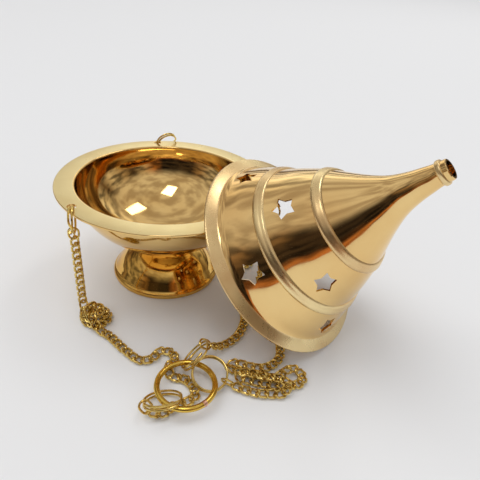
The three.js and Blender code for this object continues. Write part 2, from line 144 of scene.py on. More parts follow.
table_mesh = bpy.data.meshes.new("table")
table_mesh.from_pydata(
    [
        (-TABLE_REACH, -TABLE_REACH, 0),
        (TABLE_REACH, -TABLE_REACH, 0),
        (TABLE_REACH, TABLE_REACH, 0),
        (-TABLE_REACH, TABLE_REACH, 0),
    ],
    [],
    [(0, 1, 2, 3)],
)
table_paint = bpy.data.materials.new("table_paint")
table_paint.use_nodes = True
tree = table_paint.node_tree
paint = tree.nodes["Principled BSDF"]
paint.inputs["Roughness"].default_value = 0.8
paint.inputs["Specular IOR Level"].default_value = 0.1
on_table = tree.nodes.new("ShaderNodeTexCoord")
grain = noise(tree, on_table.outputs["Generated"], 3, 2)
pale = tones(tree, grain, ((0, (0.83, 0.83, 0.83)), (1, (0.85, 0.85, 0.85))))
tree.links.new(pale, paint.inputs["Base Color"])
table_mesh.materials.append(table_paint)
table = bpy.data.objects.new("table", table_mesh)
bpy.context.scene.collection.objects.link(table)

room = bpy.data.worlds.new("room")
bpy.context.scene.world = room
room.use_nodes = True
tree = room.node_tree
toward = tree.nodes.new("ShaderNodeTexCoord").outputs["Generated"]
parts = tree.nodes.new("ShaderNodeSeparateXYZ")
tree.links.new(toward, parts.inputs["Vector"])
height = parts.outputs["Z"]
bearing = tree.nodes.new("ShaderNodeMath")
bearing.operation = "ARCTAN2"
tree.links.new(parts.outputs["Y"], bearing.inputs[0])
tree.links.new(parts.outputs["X"], bearing.inputs[1])
way_round = stretched(tree, bearing.outputs["Value"], -math.pi, math.pi)
crowd = tree.nodes.new("ShaderNodeVectorMath")
crowd.operation = "MULTIPLY"
crowd.inputs[1].default_value = (4, 4, 12)
tree.links.new(toward, crowd.inputs[0])
patches = noise(tree, crowd.outputs["Vector"], 1, 3)
low_down = stretched(tree, height, 0.15, 0.07)
patchy_walls = tree.nodes.new("ShaderNodeVectorMath")
patchy_walls.operation = "SCALE"
high_tones = tones(tree, way_round, WALLS)
low_tones = tones(tree, way_round, LOW_WALLS)
bare_walls = mixed(tree, low_down, high_tones, low_tones)
tree.links.new(bare_walls, patchy_walls.inputs[0])
tree.links.new(stretched(tree, patches, 0.4, 0.58, 0.3, 1.15), patchy_walls.inputs["Scale"])
overhead = stretched(tree, height, 0.5, 0.76, way="SMOOTHSTEP")
whole_room = mixed(tree, overhead, patchy_walls.outputs["Vector"], tones(tree, patches, CEILING))
mirrored_room = tree.nodes["Background"]
tree.links.new(whole_room, mirrored_room.inputs["Color"])
plain_light = tree.nodes.new("ShaderNodeBackground")
plain_light.inputs["Color"].default_value = (0.56, 0.56, 0.57, 1)
ray = tree.nodes.new("ShaderNodeLightPath")
either = tree.nodes.new("ShaderNodeMixShader")
tree.links.new(ray.outputs["Is Glossy Ray"], either.inputs["Fac"])
tree.links.new(plain_light.outputs["Background"], either.inputs[1])
tree.links.new(mirrored_room.outputs["Background"], either.inputs[2])
tree.links.new(either.outputs["Shader"], tree.nodes["World Output"].inputs["Surface"])

lamp = bpy.data.lights.new("broad_lamp", "SUN")
lamp.energy = 1.0
lamp.angle = math.radians(50)
broad_lamp = bpy.data.objects.new("broad_lamp", lamp)
broad_lamp.rotation_euler = (math.radians(-14), math.radians(-30), 0)
broad_lamp.visible_glossy = False
bpy.context.scene.collection.objects.link(broad_lamp)
for name, place, size, power in CEILING_LIGHTS:
    panel = bpy.data.lights.new(name, "AREA")
    panel.shape = "RECTANGLE"
    panel.size, panel.size_y = size
    panel.energy = power
    ceiling_light = bpy.data.objects.new(name, panel)
    ceiling_light.location = place
    ceiling_light.rotation_euler.z = math.radians(CEILING_LIGHT_TURN)
    bpy.context.scene.collection.objects.link(ceiling_light)

# Bowl. A dish of brass sheet spun to half an ellipse with a wide flat flange, polished inside
# and out. The flange is satin from the last cut, and three holes are drilled in it for the chains.
AXIS = Vector((-29.823, 20.536, 0))  # the bowl's own axis in the frame, in mm as all sizes below
RIM_HEIGHT = 51.2
RIM_RADIUS = 50
FLANGE_THICKNESS = 1.1
EDGE_ROUND = 0.36
DISH_RADIUS = 42.1
DISH_DEPTH = 31
DISH_STEPS = 64
BOWL_SIDES = 220
SHEET = 1.2
LIP_ROUND = 0.8
HOLE_RADIUS = 2
HOLE_SIDES = 40
HOLE_CIRCLE = 46.9
HOLES = {"left": 226, "back": 106, "right": 346}  # degrees round the bowl
PUNCH_DEPTH = 4  # to either side of the sheet's surface
SLACK = 0.05  # mm that a face's middle may stand off the surface it belongs to
WAVE_DEPTH = 0.00012  # metres that spun sheet is out of true


def in_frame(point):
    """A point given from the bowl's axis in mm, in metres in the frame."""
    return (Vector(point) + AXIS) * 0.001


def arc(radius, height, bend, start, end, steps):
    """Points round a bend about a (radius, height) centre, between two angles in degrees."""
    points = []
    for i in range(steps + 1):
        turn = math.radians(start + (end - start) * i / steps)
        points.append((radius + bend * math.cos(turn), height + bend * math.sin(turn)))
    return points


def spun(profile, sides):
    """Sheet spun about its axis, from (radius, height) points anticlockwise round its section."""
    points = []
    rings = []
    for radius, height in profile:
        if radius < 1e-6:
            rings.append([len(points)] * sides)
            points.append((0, 0, height))
            continue
        rings.append(list(range(len(points), len(points) + sides)))
        for k in range(sides):
            angle = math.tau * k / sides
            points.append((radius * math.cos(angle), radius * math.sin(angle), height))
    after = rings[1:] + (rings[:1] if profile[0][0] > 1e-6 else [])
    faces = []
    for lower, upper in zip(rings, after):
        for k in range(sides):
            following = (k + 1) % sides
            corners = (lower[k], lower[following], upper[following], upper[k])
            faces.append(tuple(dict.fromkeys(corners)))
    return points, faces


def soften(mesh):
    """Shades a mesh smooth and keeps its sharp edges."""
    mesh.shade_smooth()
    mesh.set_sharp_from_angle(angle=math.radians(35))


def brass_piece(name, shape, finish, place):
    """A piece from points in its own mm and faces, set down in the frame at place."""
    points, faces = shape
    mesh = bpy.data.meshes.new(name)
    mesh.from_pydata([place @ (Vector(p) * 0.001) for p in points], [], faces)
    soften(mesh)
    mesh.materials.append(finish)
    piece = bpy.data.objects.new(name, mesh)
    bpy.context.scene.collection.objects.link(piece)
    return piece


def drilled(piece, shape, place):
    """Cuts a closed shape, in mm of the same place, out of the piece."""
    tool = brass_piece("tool", shape, piece.data.materials[0], place)
    cut = piece.modifiers.new("cut", "BOOLEAN")
    cut.operation = "DIFFERENCE"
    cut.solver = "EXACT"
    cut.object = tool
    bpy.context.view_layer.update()
    mesh = bpy.data.meshes.new_from_object(piece.evaluated_get(bpy.context.evaluated_depsgraph_get()))
    piece.modifiers.clear()
    piece.data = mesh
    bpy.data.objects.remove(tool)
    soften(mesh)


def prism(outline, depth):
    """A closed prism over an outline of (x, y) points, from -depth to depth along z."""
    count = len(outline)
    points = [(x, y, -depth) for x, y in outline] + [(x, y, depth) for x, y in outline]
    faces = [tuple(range(count - 1, -1, -1)), tuple(range(count, 2 * count))]
    for k in range(count):
        following = (k + 1) % count
        faces.append((k, following, count + following, count + k))
    return points, faces


def relief(tree, marks, depth, below=None):
    """Marks raised by a depth in metres, over those below where there are any."""
    bump = tree.nodes.new("ShaderNodeBump")
    bump.inputs["Strength"].default_value = 1
    bump.inputs["Distance"].default_value = depth
    tree.links.new(marks, bump.inputs["Height"])
    if below:
        tree.links.new(below, bump.inputs["Normal"])
    return bump.outputs["Normal"]


def spun_brass(name, place, bright, deep, mirror, satin, cut_marks):
    """Spun and buffed brass: soft changes of tone, a faint haze and fine rings about place's axis."""
    finish = bpy.data.materials.new(name)
    finish.use_nodes = True
    tree = finish.node_tree
    metal = tree.nodes["Principled BSDF"]
    metal.inputs["Metallic"].default_value = 1
    frame_point = tree.nodes.new("ShaderNodeTexCoord")
    own_point = tree.nodes.new("ShaderNodeMapping")
    own_point.vector_type = "TEXTURE"
    own_point.inputs["Location"].default_value = place.to_translation()
    own_point.inputs["Rotation"].default_value = place.to_euler()
    tree.links.new(frame_point.outputs["Object"], own_point.inputs["Vector"])
    at = own_point.outputs["Vector"]
    tarnish = tones(tree, noise(tree, at, 38, 5), ((0.3, deep), (0.62, bright)))
    tree.links.new(tarnish, metal.inputs["Base Color"])
    haze = noise(tree, at, 120, 6, 0.7)
    tree.links.new(stretched(tree, haze, 0.3, 0.75, mirror, satin), metal.inputs["Roughness"])
    flat = tree.nodes.new("ShaderNodeVectorMath")
    flat.operation = "MULTIPLY"
    flat.inputs[1].default_value = (1, 1, 0)
    tree.links.new(at, flat.inputs[0])
    out = tree.nodes.new("ShaderNodeVectorMath")
    out.operation = "LENGTH"
    tree.links.new(flat.outputs["Vector"], out.inputs[0])
    up = tree.nodes.new("ShaderNodeSeparateXYZ")
    tree.links.new(at, up.inputs["Vector"])
    ring = tree.nodes.new("ShaderNodeCombineXYZ")
    tree.links.new(out.outputs["Value"], ring.inputs["X"])
    tree.links.new(up.outputs["Z"], ring.inputs["Y"])
    cuts = relief(tree, noise(tree, ring.outputs["Vector"], 2600, 3), cut_marks)
    waves = relief(tree, noise(tree, at, 75, 1), WAVE_DEPTH, cuts)
    tree.links.new(waves, metal.inputs["Normal"])
    return finish


def dish_outside(radius):
    """Height of the dish's outside at a radius."""
    return RIM_HEIGHT - FLANGE_THICKNESS - DISH_DEPTH * math.sqrt(1 - (radius / DISH_RADIUS) ** 2)


bowl_profile = []
for i in range(DISH_STEPS + 1):
    r = DISH_RADIUS * math.sin(math.radians(90) * i / DISH_STEPS)
    bowl_profile.append((r, dish_outside(r)))
edge_middle = RIM_RADIUS - EDGE_ROUND
bowl_profile += arc(edge_middle, RIM_HEIGHT - FLANGE_THICKNESS + EDGE_ROUND, EDGE_ROUND, -90, 0, 6)
bowl_profile += arc(edge_middle, RIM_HEIGHT - EDGE_ROUND, EDGE_ROUND, 0, 90, 6)
dish_inside = DISH_RADIUS - SHEET
bowl_profile += arc(dish_inside + LIP_ROUND, RIM_HEIGHT - LIP_ROUND, LIP_ROUND, 90, 180, 8)
inside_depth = DISH_DEPTH + FLANGE_THICKNESS - SHEET - LIP_ROUND
for i in range(1, DISH_STEPS + 1):
    turn = math.radians(90) * (1 - i / DISH_STEPS)
    r = dish_inside * math.sin(turn)
    bowl_profile.append((r, RIM_HEIGHT - LIP_ROUND - inside_depth * math.cos(turn)))
bowl_profile[-1] = (0, bowl_profile[-1][1])
on_axis = Matrix.Translation(AXIS * 0.001)
bowl_brass = spun_brass("bowl_brass", on_axis, (0.88, 0.62, 0.26), (0.80, 0.52, 0.19), 0.04, 0.11, 2e-7)
flange_brass = spun_brass(
    "flange_brass", on_axis, (0.92, 0.78, 0.42), (0.86, 0.69, 0.34), 0.26, 0.36, 1.2e-6
)
bowl = brass_piece("spun_bowl", spun(bowl_profile, BOWL_SIDES), bowl_brass, on_axis)
for degrees in HOLES.values():
    around = math.radians(degrees)
    round_hole = []
    for k in range(HOLE_SIDES):
        angle = math.tau * k / HOLE_SIDES
        x = HOLE_CIRCLE * math.cos(around) + HOLE_RADIUS * math.cos(angle)
        y = HOLE_CIRCLE * math.sin(around) + HOLE_RADIUS * math.sin(angle)
        round_hole.append((x, y))
    points, faces = prism(round_hole, PUNCH_DEPTH)
    drilled(bowl, ([(x, y, z + RIM_HEIGHT) for x, y, z in points], faces), on_axis)
bowl.data.materials.append(flange_brass)
for face in bowl.data.polygons:
    middle = face.center * 1000 - AXIS
    beyond_lip = math.hypot(middle.x, middle.y) > dish_inside + LIP_ROUND - SLACK
    if middle.z > RIM_HEIGHT - SLACK and beyond_lip:
        face.material_index = 1
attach(bowl, "body")
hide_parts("bowl")

# Foot. A bell of the same brass, spun with a rolled band at the floor, hollow from below
# and soft-soldered to the bowl at its collar.
FOOT_RADIUS = 26.8
FOOT_BAND = 2.2
FOOT_SHEET = 1.3
FOOT_SIDES = 180
INSIDE_DROP = 0.6 * FOOT_SHEET  # the inside of the flare follows the outside, lower by this
PLATE_GAP = 0.6  # between the dish and the plate that closes the foot
COLLAR_RADIUS = 12.9
FLARE = (  # radius and height, from the band up to the waist
    (25.1, 4),
    (24.2, 5.4),
    (22.9, 7.4),
    (21.2, 9.6),
    (19.2, 11.7),
    (16.8, 13.7),
    (14.4, 15.4),
    (12.8, 17.2),
    (12.3, 18.4),
)


def smooth_line(points, steps):
    """A smooth line through (radius, height) points, with steps between each two."""
    line = []
    last = len(points) - 1
    for i in range(last):
        nearby = [points[min(max(j, 0), last)] for j in range(i - 1, i + 3)]
        before, start, end, after = (Vector(p) for p in nearby)
        for k in range(steps):
            t = k / steps
            line.append(
                (
                    2 * start
                    + (end - before) * t
                    + (2 * before - 5 * start + 4 * end - after) * t**2
                    + (3 * start - before - 3 * end + after) * t**3
                )
                / 2
            )
    return [tuple(p) for p in line] + [points[-1]]


foot_inside = [(r - FOOT_SHEET, z - INSIDE_DROP) for r, z in reversed(FLARE[:-1])]
plate_top = dish_outside(0) - PLATE_GAP
foot_profile = [(0, plate_top - FOOT_SHEET), (foot_inside[0][0], plate_top - FOOT_SHEET)]
foot_profile += smooth_line(foot_inside, 8)
foot_profile += [
    (FOOT_RADIUS - 2.8, 0),
    (FOOT_RADIUS - 0.5, 0),
    (FOOT_RADIUS - 0.15, 0.25),
    (FOOT_RADIUS, 0.7),
    (FOOT_RADIUS, FOOT_BAND - 0.5),
    (FOOT_RADIUS - 0.15, FOOT_BAND),
    (FOOT_RADIUS - 0.55, FOOT_BAND + 0.35),
    (FOOT_RADIUS - 1, FOOT_BAND + 0.6),
]
foot_profile += smooth_line(FLARE, 10)
foot_profile += [
    (12.5, 18.9),
    (COLLAR_RADIUS, 19.4),
    (COLLAR_RADIUS, dish_outside(COLLAR_RADIUS) - 0.3),
    (COLLAR_RADIUS - FOOT_SHEET, dish_outside(COLLAR_RADIUS - FOOT_SHEET) - 0.3),
    (COLLAR_RADIUS - FOOT_SHEET - 0.5, plate_top),
    (0, plate_top),
]
foot_brass = spun_brass(
    "foot_brass", on_axis, (0.84, 0.53, 0.14), (0.74, 0.41, 0.09), 0.05, 0.13, 2.5e-7
)
foot = brass_piece("spun_foot", spun(foot_profile, FOOT_SIDES), foot_brass, on_axis)
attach(foot, "body")
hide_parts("foot")

# Lid. A brass cone spun from sheet with two brushed ribs, a brushed lip at its mouth, ten pierced
# stars and an open spout with a bead for the smoke. It stands on its lip and leans on the rim.
LID_TILT = 44.2  # degrees
LID_AZIMUTH = -27.75  # degrees, the way that its spout points
LID_MOUTH = (58.003, -22.149, 32.09)  # middle of the mouth, from the bowl's axis
LID_SHEET = 1
LIP_RADIUS = 46
LIP_INNER = (40.7, 2.5)  # radius and height where the lip meets the cone
CONE = (  # radius and height, from the lip up to the spout's end
    LIP_INNER,
    (37.3, 9.2),
    (33.4, 15.9),
    (31.8, 18.2),
    (27.8, 26.4),
    (23.1, 35),
    (21.3, 37.6),
    (17.4, 43),
    (12.6, 50),
    (8.4, 57.5),
    (6.1, 64.5),
    (4.9, 70.5),
    (4.3, 74),
    (4, 78.6),
)
CONE_STEPS = 62
INSIDE_STEPS = 56
INSIDE_LOWEST = 3.1  # height at which the cone's inside starts
LID_SIDES = 200
SPOUT_BORE = 3
RIBS = ((17, 3.5, 0.7), (37.1, 3.4, 0.7), (75.7, 2, 0.7))  # height, width, how far it stands out
RIB_POINTS = 15  # up a rib, the first and the last just off it
RIB_ROOM = 0.62  # share of its width that a rib's own points take up to either side
RIB_FACES = 0.56  # share of its width that is brushed to either side
STAR_RADIUS = 4.85
STAR_NOTCH = 3
STAR_TURN = 2  # degrees that a star's lowest tip points off the mouth
STAR_ROWS = ((9.2, 189.5), (26, 226))  # height, and degrees round the lid to the first of five


def cone_radius(height):
    """The cone's outer radius at a height, without its ribs."""
    for (r0, h0), (r1, h1) in zip(fine_cone, fine_cone[1:]):
        if height <= h1:
            return r0 + (r1 - r0) * (height - h0) / (h1 - h0)
    return fine_cone[-1][0]


def cone_out(height):
    """The way that points out of the cone at a height, as (radius, height)."""
    fall = cone_radius(height - 0.2) - cone_radius(height + 0.2)
    return Vector((0.4, fall)).normalized()


fine_cone = smooth_line(CONE, 8)
spout_radius, top = CONE[-1]
heights = [LIP_INNER[1] + (top - LIP_INNER[1]) * i / CONE_STEPS for i in range(CONE_STEPS + 1)]
for middle, width, _ in RIBS:
    heights = [h for h in heights if abs(h - middle) > RIB_ROOM * width]
    heights += [middle + width * (i - RIB_POINTS // 2) / (RIB_POINTS - 2) for i in range(RIB_POINTS)]
heights.sort()
lid_profile = [
    (LIP_RADIUS - 0.35, 0),
    (LIP_RADIUS - 0.08, 0.12),
    (LIP_RADIUS, 0.4),
    (LIP_RADIUS - 0.08, 0.72),
    (LIP_RADIUS - 0.4, 0.98),
    (LIP_INNER[0] + 0.9, 2.28),
    (LIP_INNER[0] + 0.35, 2.62),
]
for h in heights[1:]:
    stand_out = 0
    for middle, width, proud in RIBS:
        share = 2 * (h - middle) / width
        if abs(share) < 1:
            stand_out = proud * (1 - share**4) ** 0.5
    at = Vector((cone_radius(h), h)) + stand_out * cone_out(h)
    lid_profile.append(tuple(at))
lid_profile[-1] = (spout_radius - 0.25, top)
lid_profile[-2] = (spout_radius, top - 0.3)
for i in range(INSIDE_STEPS, -1, -1):
    h = INSIDE_LOWEST + (top - INSIDE_LOWEST) * i / INSIDE_STEPS
    inward = Vector((cone_radius(h), h)) - LID_SHEET * cone_out(h)
    lid_profile.append((max(inward.x, SPOUT_BORE), inward.y if i < INSIDE_STEPS else top))
lid_profile += [(LIP_INNER[0] - 0.6, 1.5), (LIP_RADIUS - 1.2, 0.1), (LIP_RADIUS - 0.8, 0)]
lean = Matrix.Translation(in_frame(LID_MOUTH))
lean = lean @ Matrix.Rotation(math.radians(LID_AZIMUTH), 4, "Z")
lean = lean @ Matrix.Rotation(math.radians(LID_TILT), 4, "Y")
lid_brass = spun_brass("lid_brass", lean, (0.90, 0.64, 0.28), (0.82, 0.53, 0.21), 0.05, 0.13, 3e-7)
lip_brass = spun_brass("lip_brass", lean, (0.95, 0.76, 0.40), (0.72, 0.47, 0.22), 0.24, 0.36, 2e-6)
lid = brass_piece("spun_lid", spun(lid_profile, LID_SIDES), lid_brass, lean)
star = []
for i in range(10):
    r = STAR_NOTCH if i % 2 else STAR_RADIUS
    angle = math.radians(36 * i - 90 + STAR_TURN)
    star.append((r * math.cos(angle), r * math.sin(angle)))
star_points = []
star_faces = []
for height, first in STAR_ROWS:
    outward = cone_out(height)
    for k in range(5):
        points, faces = prism(star, PUNCH_DEPTH)
        around = Matrix.Rotation(math.radians(first + 72 * k), 3, "Z")
        start = len(star_points)
        for x, y, z in points:
            r = cone_radius(height) + z * outward.x - y * outward.y
            star_points.append(around @ Vector((r, x, height + z * outward.y + y * outward.x)))
        star_faces += [tuple(start + n for n in face) for face in faces]
drilled(lid, (star_points, star_faces), lean)
lid.data.materials.append(lip_brass)
upright_lid = lean.inverted()
for face in lid.data.polygons:
    middle = (upright_lid @ face.center) * 1000
    outside = math.hypot(middle.x, middle.y)
    at_rib = any(abs(middle.z - h) < RIB_FACES * width for h, width, _ in RIBS)
    on_rib = at_rib and outside > cone_radius(middle.z) - 0.1
    if outside > LIP_INNER[0] + 0.2 or on_rib:
        face.material_index = 1
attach(lid, "lid")
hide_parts("lid")

# Rim rings. Three split rings of brass wire, two turns each with a jog where one turn crosses
# to the other, wound through the holes in the flange. They are left bright, yellower than the bowl.
WIRE = 0.9
WIRE_SIDES = 10
TURN_GAP = 0.42  # between the two turns
RIM_RING_RADIUS = 5.5
RING_STEPS = 150
RING_START = 25  # degrees round the ring to the wire's first end
RING_OPEN = 58  # degrees that two turns fall short of meeting
JOG_START = 335  # degrees round the ring to the jog
JOG_SWEEP = 50
UP = Vector((0, 0, 1))
RIM_RINGS = {  # yaw and lean in degrees, then how far out from the hole and down from the flange
    "left": (285, 0, 4.2, 4),
    "back": (38.3, -25, 5.3, 0.3),
    "right": (346, 0, 3.4, 4.5),
}


def bent_wire(points, wire, sides, closed):
    """Round wire along points that go round the origin."""
    count = len(points)
    ring_points = []
    for i, at in enumerate(points):
        before = points[(i - 1) % count] if closed else points[max(i - 1, 0)]
        after = points[(i + 1) % count] if closed else points[min(i + 1, count - 1)]
        along = (after - before).normalized()
        side = (at - along * at.dot(along)).normalized()
        up = along.cross(side)
        for k in range(sides):
            angle = math.tau * k / sides
            ring_points.append(at + (side * math.cos(angle) + up * math.sin(angle)) * wire / 2)
    faces = []
    for i in range(count if closed else count - 1):
        j = (i + 1) % count
        for k in range(sides):
            following = (k + 1) % sides
            faces.append((i * sides + k, i * sides + following, j * sides + following, j * sides + k))
    if not closed:
        last = (count - 1) * sides
        faces.append(tuple(range(sides - 1, -1, -1)))
        faces.append(tuple(range(last, last + sides)))
    return ring_points, faces


def split_ring(radius):
    """Two turns of wire side by side, with a jog from the one to the other."""
    points = []
    for i in range(RING_STEPS + 1):
        angle = RING_START + (720 - RING_OPEN) * i / RING_STEPS
        share = min(max((angle - JOG_START) / JOG_SWEEP, 0), 1)
        share = share * share * (3 - 2 * share)
        a = math.radians(angle)
        across = (share - 0.5) * (WIRE + TURN_GAP)
        points.append(Vector((radius * math.cos(a), radius * math.sin(a), across)))
    return bent_wire(points, WIRE, WIRE_SIDES, False)


def wire_brass(name, bright, deep, shine, dull):
    """Drawn brass wire: tone that changes along it, darker spots of tarnish and fine die lines."""
    finish = bpy.data.materials.new(name)
    finish.use_nodes = True
    tree = finish.node_tree
    metal = tree.nodes["Principled BSDF"]
    metal.inputs["Metallic"].default_value = 1
    at = tree.nodes.new("ShaderNodeTexCoord").outputs["Object"]
    spots = noise(tree, at, 420, 4)
    tree.links.new(tones(tree, spots, ((0.32, deep), (0.6, bright))), metal.inputs["Base Color"])
    tree.links.new(stretched(tree, spots, 0, 1, shine, dull), metal.inputs["Roughness"])
    die_lines = relief(tree, noise(tree, at, 3000, 2), 4e-6)
    tree.links.new(die_lines, metal.inputs["Normal"])
    return finish


def facing(u, v, n, at):
    """Turns a piece made about the origin so that its x, y, z run along u, v, n, at a point in mm."""
    turn = Matrix((u, v, n)).transposed().to_4x4()
    return Matrix.Translation(in_frame(at)) @ turn


chain_brass = wire_brass("chain_brass", (0.88, 0.67, 0.22), (0.62, 0.41, 0.10), 0.16, 0.34)
rim_ring_frames = {}
for side, (yaw, slant, out, down) in RIM_RINGS.items():
    u = Vector((math.cos(math.radians(yaw)), math.sin(math.radians(yaw)), 0))
    w = UP.cross(u)
    v = UP * math.cos(math.radians(slant)) + w * math.sin(math.radians(slant))
    around = math.radians(HOLES[side])
    hole = Vector((HOLE_CIRCLE * math.cos(around), HOLE_CIRCLE * math.sin(around), RIM_HEIGHT - down))
    at = hole + u * out
    rim_ring_frames[side] = (u, v, at)
    hung = facing(u, v, u.cross(v), at)
    ring = brass_piece("rim_ring_" + side + "_wire", split_ring(RIM_RING_RADIUS), chain_brass, hung)
    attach(ring, "rim_ring_" + side)
    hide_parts("rim_ring_" + side)

# Hanging chains. A jump link of the same brass wire, bent round and closed with a butt joint,
# hangs on each rim ring, and nine twisted curb links hang on it, each through the one above.
JUMP_LENGTH = 6.2
JUMP_WIDTH = 4.9
JUMP_STEPS = 14  # round each end
JUMP_SEAT = 0.9  # from the middle of the ring's wire to the middle of the link
JUMP_OPEN = 0.04  # half the hair that its two ends stay apart
LINK_WIRE = 1
LINK_SIDES = 9
LINK_STEPS = 10  # round each end
LINK_PITCH = 3.45
LINK_PLAY = 0.3  # that two links can shift along each other
LINK_LENGTH = LINK_PITCH + LINK_PLAY + 2 * LINK_WIRE
LINK_WIDTH = 4.2
LINK_TWIST = 55  # degrees, each end against the middle
HANGING_LINKS = 9


def link_points(length, width, wire, twist, steps):
    """Middle line of a link, long along z and wide along x, each end turned by twist degrees."""
    a = (length - wire) / 2
    b = (width - wire) / 2
    points = []
    for sign in (1, -1):
        for i in range(steps + 1):
            t = math.pi * i / steps + (0 if sign > 0 else math.pi)
            turned = math.radians(twist) * math.sin(t)
            across = b * math.cos(t)
            along = sign * (a - b) + b * math.sin(t)
            points.append(Vector((across * math.cos(turned), across * math.sin(turned), along)))
    return points


def jump_link():
    """A link left open by a hair at the middle of one side, where its two ends meet."""
    line = link_points(JUMP_LENGTH, JUMP_WIDTH, WIRE, 0, JUMP_STEPS)
    start = Vector((line[0].x, 0, JUMP_OPEN))
    end = Vector((line[0].x, 0, -JUMP_OPEN))
    return bent_wire([start, *line, end], WIRE, WIRE_SIDES, False)


link_line = link_points(LINK_LENGTH, LINK_WIDTH, LINK_WIRE, LINK_TWIST, LINK_STEPS)
curb_link = bent_wire(link_line, LINK_WIRE, LINK_SIDES, True)
chain_feet = {}
for side, (u, v, at) in rim_ring_frames.items():
    across = u.cross(UP).normalized()
    jump_at = at - v * RIM_RING_RADIUS - UP * JUMP_SEAT
    hung = facing(across, UP.cross(across), UP, jump_at)
    jump = brass_piece("jump_link_" + side + "_wire", jump_link(), chain_brass, hung)
    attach(jump, "chain_" + side)
    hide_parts("jump_link_" + side)
    flat = Matrix.Rotation(-math.radians(LINK_TWIST), 3, "Z") @ u
    link_at = jump_at - UP * ((JUMP_LENGTH - WIRE) / 2 + (LINK_LENGTH - LINK_WIRE) / 2)
    link_at = link_at + UP * ((WIRE + LINK_WIRE) / 2 + LINK_PLAY)
    for k in range(HANGING_LINKS):
        name = "link_" + side + "_" + str(k + 1)
        hung = facing(flat, UP.cross(flat), UP, link_at)
        link = brass_piece(name + "_wire", curb_link, chain_brass, hung)
        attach(link, "chain_" + side)
        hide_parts(name)
        link_at = link_at - UP * LINK_PITCH
    chain_feet[side] = (link_at + UP * (LINK_PITCH - LINK_LENGTH / 2 - LINK_PLAY), flat)

# Carrying ring. A closed ring of thicker brass rod that the burner hangs from, bent round and
# brazed where its ends meet, which leaves a pinkish collar with a slight swell.
MAIN_RING_AT = (22, -79.2, 4.34)  # its middle, from the bowl's axis
MAIN_RING_RADIUS = 11.05
MAIN_RING_ROD = 2.3
ROD_SIDES = 18
ROD_STEPS = 96
SEAM = -44  # degrees round the ring
SEAM_STEPS = 8  # of a degree each, centred on the seam
COLLAR_END = 1.005  # thickness of the collar's ends, as a share of the rod's
COLLAR_SWELL = 0.06  # share of the rod's thickness that its middle has more


def on_main_ring(angle):
    """A point on the middle of the rod."""
    return Vector((MAIN_RING_RADIUS * math.cos(angle), MAIN_RING_RADIUS * math.sin(angle), 0))


ring_brass = wire_brass("ring_brass", (0.86, 0.60, 0.12), (0.68, 0.42, 0.06), 0.12, 0.26)
rod_line = [on_main_ring(math.tau * i / ROD_STEPS) for i in range(ROD_STEPS)]
rod = bent_wire(rod_line, MAIN_RING_ROD, ROD_SIDES, True)
lying_ring = Matrix.Translation(in_frame(MAIN_RING_AT))
main_ring = brass_piece("main_ring_rod", rod, ring_brass, lying_ring)
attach(main_ring, "main_ring")
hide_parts("main_ring")
braze_brass = wire_brass("braze", (0.86, 0.52, 0.36), (0.66, 0.34, 0.22), 0.24, 0.42)
seam_line = [on_main_ring(math.radians(SEAM - SEAM_STEPS // 2 + i)) for i in range(SEAM_STEPS + 1)]
braze_points, braze_faces = bent_wire(seam_line, MAIN_RING_ROD, ROD_SIDES, False)
for i, at in enumerate(seam_line):
    swell = COLLAR_END + COLLAR_SWELL * math.sin(math.pi * i / SEAM_STEPS)
    for k in range(i * ROD_SIDES, (i + 1) * ROD_SIDES):
        braze_points[k] = at + (braze_points[k] - at) * swell
braze = brass_piece("main_ring_braze", (braze_points, braze_faces), braze_brass, lying_ring)
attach(braze, "main_ring")

# Top rings. Three more split rings of the same wire, one for each chain, lie threaded on the
# carrying ring as it was put down, and the end link of a chain hangs in each.
TOP_RING_RADIUS = 6.9
TOP_RINGS = {  # middle, lean of its axis in radians, then degrees to its end link and of its dip
    "left": ((14.6, -87.3, 4.58), (-0.185, 0.481), 212, -125),
    "back": ((23.92, -65.99, 6.39), (-0.853, 0.268), 75, -60),
    "right": ((30.44, -72.95, 4.47), (0.119, -0.379), -15, -10),
}
chain_ends = {}
for side, (at, tip, link_angle, link_dip) in TOP_RINGS.items():
    at = Vector(at)
    angle = math.hypot(*tip)
    n = Vector((math.sin(angle) * tip[0] / angle, math.sin(angle) * tip[1] / angle, math.cos(angle)))
    u = Vector((0, 1, 0)).cross(n).normalized()
    v = n.cross(u)
    laid = facing(u, v, n, at)
    ring = brass_piece("top_ring_" + side + "_wire", split_ring(TOP_RING_RADIUS), chain_brass, laid)
    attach(ring, "top_ring_" + side)
    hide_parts("top_ring_" + side)
    a = math.radians(link_angle)
    dip = math.radians(link_dip)
    radial = u * math.cos(a) + v * math.sin(a)
    long = radial * math.cos(dip) + n * math.sin(dip)
    wide = n.cross(radial).cross(long)
    link_at = at + radial * TOP_RING_RADIUS + long * JUMP_SEAT
    laid = facing(wide, long.cross(wide), long, link_at)
    end_link = brass_piece("end_link_" + side + "_wire", jump_link(), chain_brass, laid)
    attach(end_link, "body")
    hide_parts("end_link_" + side)
    chain_ends[side] = link_at + long * (JUMP_LENGTH / 2 + LINK_PLAY)

